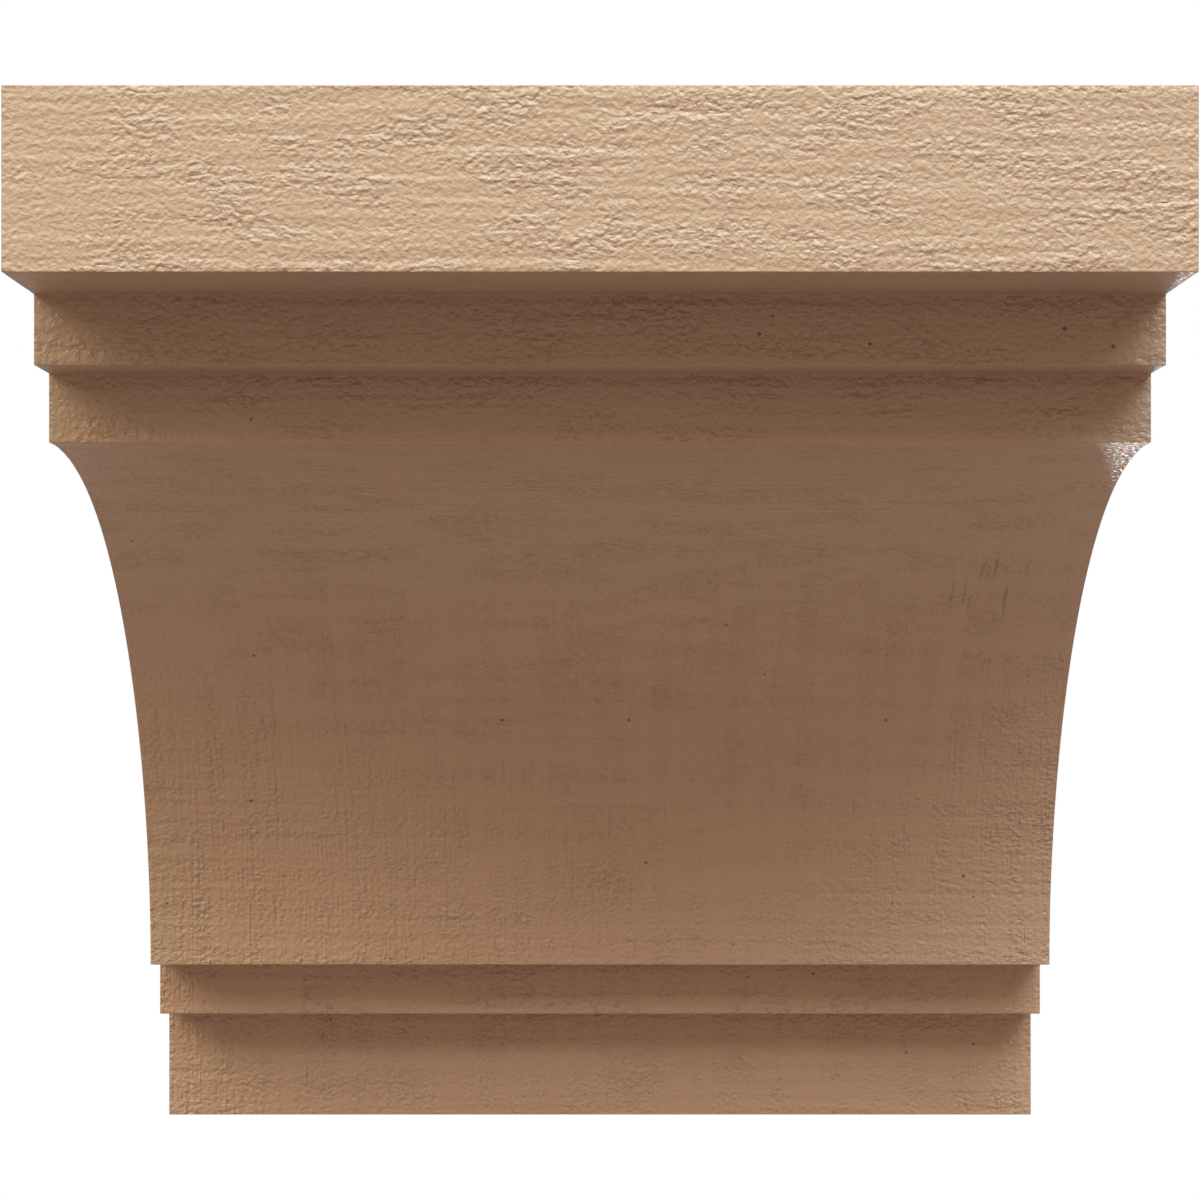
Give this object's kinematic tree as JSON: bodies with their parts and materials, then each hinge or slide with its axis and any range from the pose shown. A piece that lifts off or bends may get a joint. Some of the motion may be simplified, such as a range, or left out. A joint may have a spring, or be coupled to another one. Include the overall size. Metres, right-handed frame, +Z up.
{
  "type": "corbel",
  "caption": "Straight stepped wall corbel with a deep cove under a thick flat cap, moulded in one piece with a rough-sawn grain and a tan primer.",
  "frame": {"origin": "middle of the flat back face, on the wall plane, at mid-width and mid-height", "axes": "+X to the right seen from the front, +Y into the wall, +Z up; the corbel projects towards -Y and is symmetric about the YZ plane"},
  "size_m": [0.3048, 0.3048, 0.3048],
  "materials": {
    "tan_primer": "rigid moulded foam with a rough-sawn wood grain, sprayed with a tan primer of low sheen"
  },
  "bodies": {
    "root": {"corbel": "tan_primer"}
  },
  "joints": []
}
